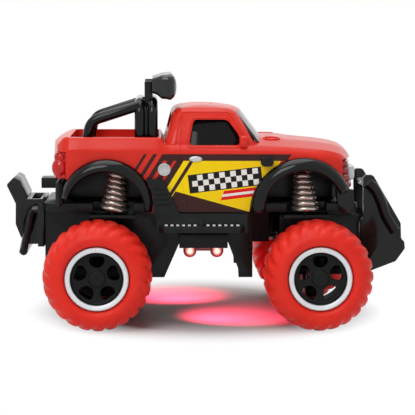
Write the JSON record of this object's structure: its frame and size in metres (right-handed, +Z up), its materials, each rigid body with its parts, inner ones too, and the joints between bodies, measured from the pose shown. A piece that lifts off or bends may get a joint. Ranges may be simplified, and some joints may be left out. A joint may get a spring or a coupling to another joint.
{
  "type": "remote control car",
  "caption": "Toy monster pickup on oversized red tyres, with sprung-look shocks, roll bar, steering front wheels and a geared rear drive.",
  "frame": {"origin": "on the ground, at the middle of the overall length and width", "axes": "+X towards the front of the car, +Z up, +Y to the car's left"},
  "size_m": [0.1399, 0.09, 0.0866],
  "materials": {
    "body_red": "glossy painted plastic",
    "nose_red": "glossy dark red",
    "tyre_red": "soft smooth rubber",
    "black_plastic": "satin moulded",
    "black_gloss": "glossy moulded",
    "dark_glazing": "polished dark",
    "chrome": "vacuum-plated bright",
    "steel": "plain",
    "lamp_clear": "clear lens",
    "lamp_red": "red lens",
    "nylon": "natural",
    "board_green": "solder mask",
    "cell_jacket": "printed sleeve",
    "contact_metal": "springy sheet"
  },
  "bodies": {
    "chassis": {"body_shell": "body_red", "front_grille": "nose_red", "chassis": "black_plastic", "chassis_cover": "black_plastic", "roll_bar": "black_plastic", "front_bumper": "black_plastic", "rear_bumper": "black_plastic", "gearbox_cover": "black_plastic", "steering_cover": "black_plastic", "side_sill_left": "black_plastic", "side_sill_right": "black_plastic", "light_bar": "black_gloss", "fender_flare_front_left": "black_gloss", "fender_flare_front_right": "black_gloss", "fender_flare_rear_left": "black_gloss", "fender_flare_rear_right": "black_gloss", "fender_vent_left": "black_gloss", "fender_vent_right": "black_gloss", "window_insert": "dark_glazing", "shock_spring_front_left": "chrome", "shock_spring_front_right": "chrome", "shock_spring_rear_left": "chrome", "shock_spring_rear_right": "chrome", "drive_motor": "steel", "steering_motor": "steel", "headlamp_left": "lamp_clear", "headlamp_right": "lamp_clear", "tail_lamp_left": "lamp_red", "tail_lamp_right": "lamp_red", "underglow_lamp_left": "lamp_red", "underglow_lamp_right": "lamp_red", "circuit_board": "board_green", "battery_cell_1": "cell_jacket", "battery_cell_2": "cell_jacket", "battery_cell_3": "cell_jacket", "battery_contact_front": "contact_metal", "battery_contact_rear": "contact_metal"},
    "rear_axle_set": {"rear_axle": "steel", "axle_gear": "nylon", "rim_rear_left": "black_plastic", "rim_rear_right": "black_plastic", "tyre_rear_left": "tyre_red", "tyre_rear_right": "tyre_red", "trim_ring_rear_left": "chrome", "trim_ring_rear_right": "chrome"},
    "idler": {"idler_gear": "nylon"},
    "pinion": {"motor_pinion": "nylon"},
    "knuckle_left": {"steering_knuckle_left": "black_plastic"},
    "knuckle_right": {"steering_knuckle_right": "black_plastic"},
    "front_wheel_left": {"rim_front_left": "black_plastic", "tyre_front_left": "tyre_red", "trim_ring_front_left": "chrome"},
    "front_wheel_right": {"rim_front_right": "black_plastic", "tyre_front_right": "tyre_red", "trim_ring_front_right": "chrome"},
    "tie_rod": {"tie_rod": "nylon"},
    "steering_pinion": {"steering_pinion": "nylon"},
    "power_switch": {"power_switch": "black_gloss"},
    "battery_door": {"battery_cover": "black_plastic"},
    "battery_screw": {"battery_cover_screw": "steel"}
  },
  "joints": [
    {"name": "rear_axle_spin", "type": "hinge", "parent": "chassis", "child": "rear_axle_set", "pos_m": [-0.0375, 0, 0.0186], "axis": [0, 1, 0], "continuous": true},
    {"name": "idler_spin", "type": "hinge", "parent": "chassis", "child": "idler", "pos_m": [-0.04503, 0, 0.02613], "axis": [0, 1, 0], "continuous": true},
    {"name": "motor_pinion_spin", "type": "hinge", "parent": "chassis", "child": "pinion", "pos_m": [-0.03551, 0, 0.03231], "axis": [0, 1, 0], "continuous": true},
    {"name": "steer_left", "type": "hinge", "parent": "chassis", "child": "knuckle_left", "pos_m": [0.0375, 0.0165, 0.0186], "axis": [0, 0, 1], "range_deg": [-18, 18]},
    {"name": "steer_right", "type": "hinge", "parent": "chassis", "child": "knuckle_right", "pos_m": [0.0375, -0.0165, 0.0186], "axis": [0, 0, 1], "range_deg": [-18, 18]},
    {"name": "tie_rod_slide", "type": "slide", "parent": "chassis", "child": "tie_rod", "axis": [0, 1, 0], "range_m": [-0.00205, 0.00205]},
    {"name": "steering_pinion_turn", "type": "hinge", "parent": "chassis", "child": "steering_pinion", "pos_m": [0.04831, 0, 0.0208], "axis": [0, 0, 1], "range_deg": [-50.5, 50.5]},
    {"name": "front_left_spin", "type": "hinge", "parent": "knuckle_left", "child": "front_wheel_left", "pos_m": [0.0375, 0.033, 0.0186], "axis": [0, 1, 0], "continuous": true},
    {"name": "front_right_spin", "type": "hinge", "parent": "knuckle_right", "child": "front_wheel_right", "pos_m": [0.0375, -0.033, 0.0186], "axis": [0, 1, 0], "continuous": true},
    {"name": "power_switch_slide", "type": "slide", "parent": "chassis", "child": "power_switch", "axis": [1, 0, 0], "range_m": [0, 0.0025]},
    {"name": "battery_door_hinge", "type": "hinge", "parent": "chassis", "child": "battery_door", "pos_m": [-0.0263, 0, 0.0287], "axis": [0, 1, 0], "range_deg": [0, 75]},
    {"name": "battery_screw_turn", "type": "hinge", "parent": "battery_door", "child": "battery_screw", "pos_m": [0.02385, 0, 0.0287], "axis": [0, 0, 1], "continuous": true}
  ],
  "couplings": [
    {"joint": "idler_spin", "follows": "rear_axle_spin", "ratio": -2.75},
    {"joint": "motor_pinion_spin", "follows": "rear_axle_spin", "ratio": 8.25},
    {"joint": "steer_right", "follows": "steer_left", "ratio": 1},
    {"joint": "tie_rod_slide", "follows": "steer_left", "m_per_rad": 0.0065},
    {"joint": "steering_pinion_turn", "follows": "steer_left", "ratio": -2.7083}
  ]
}
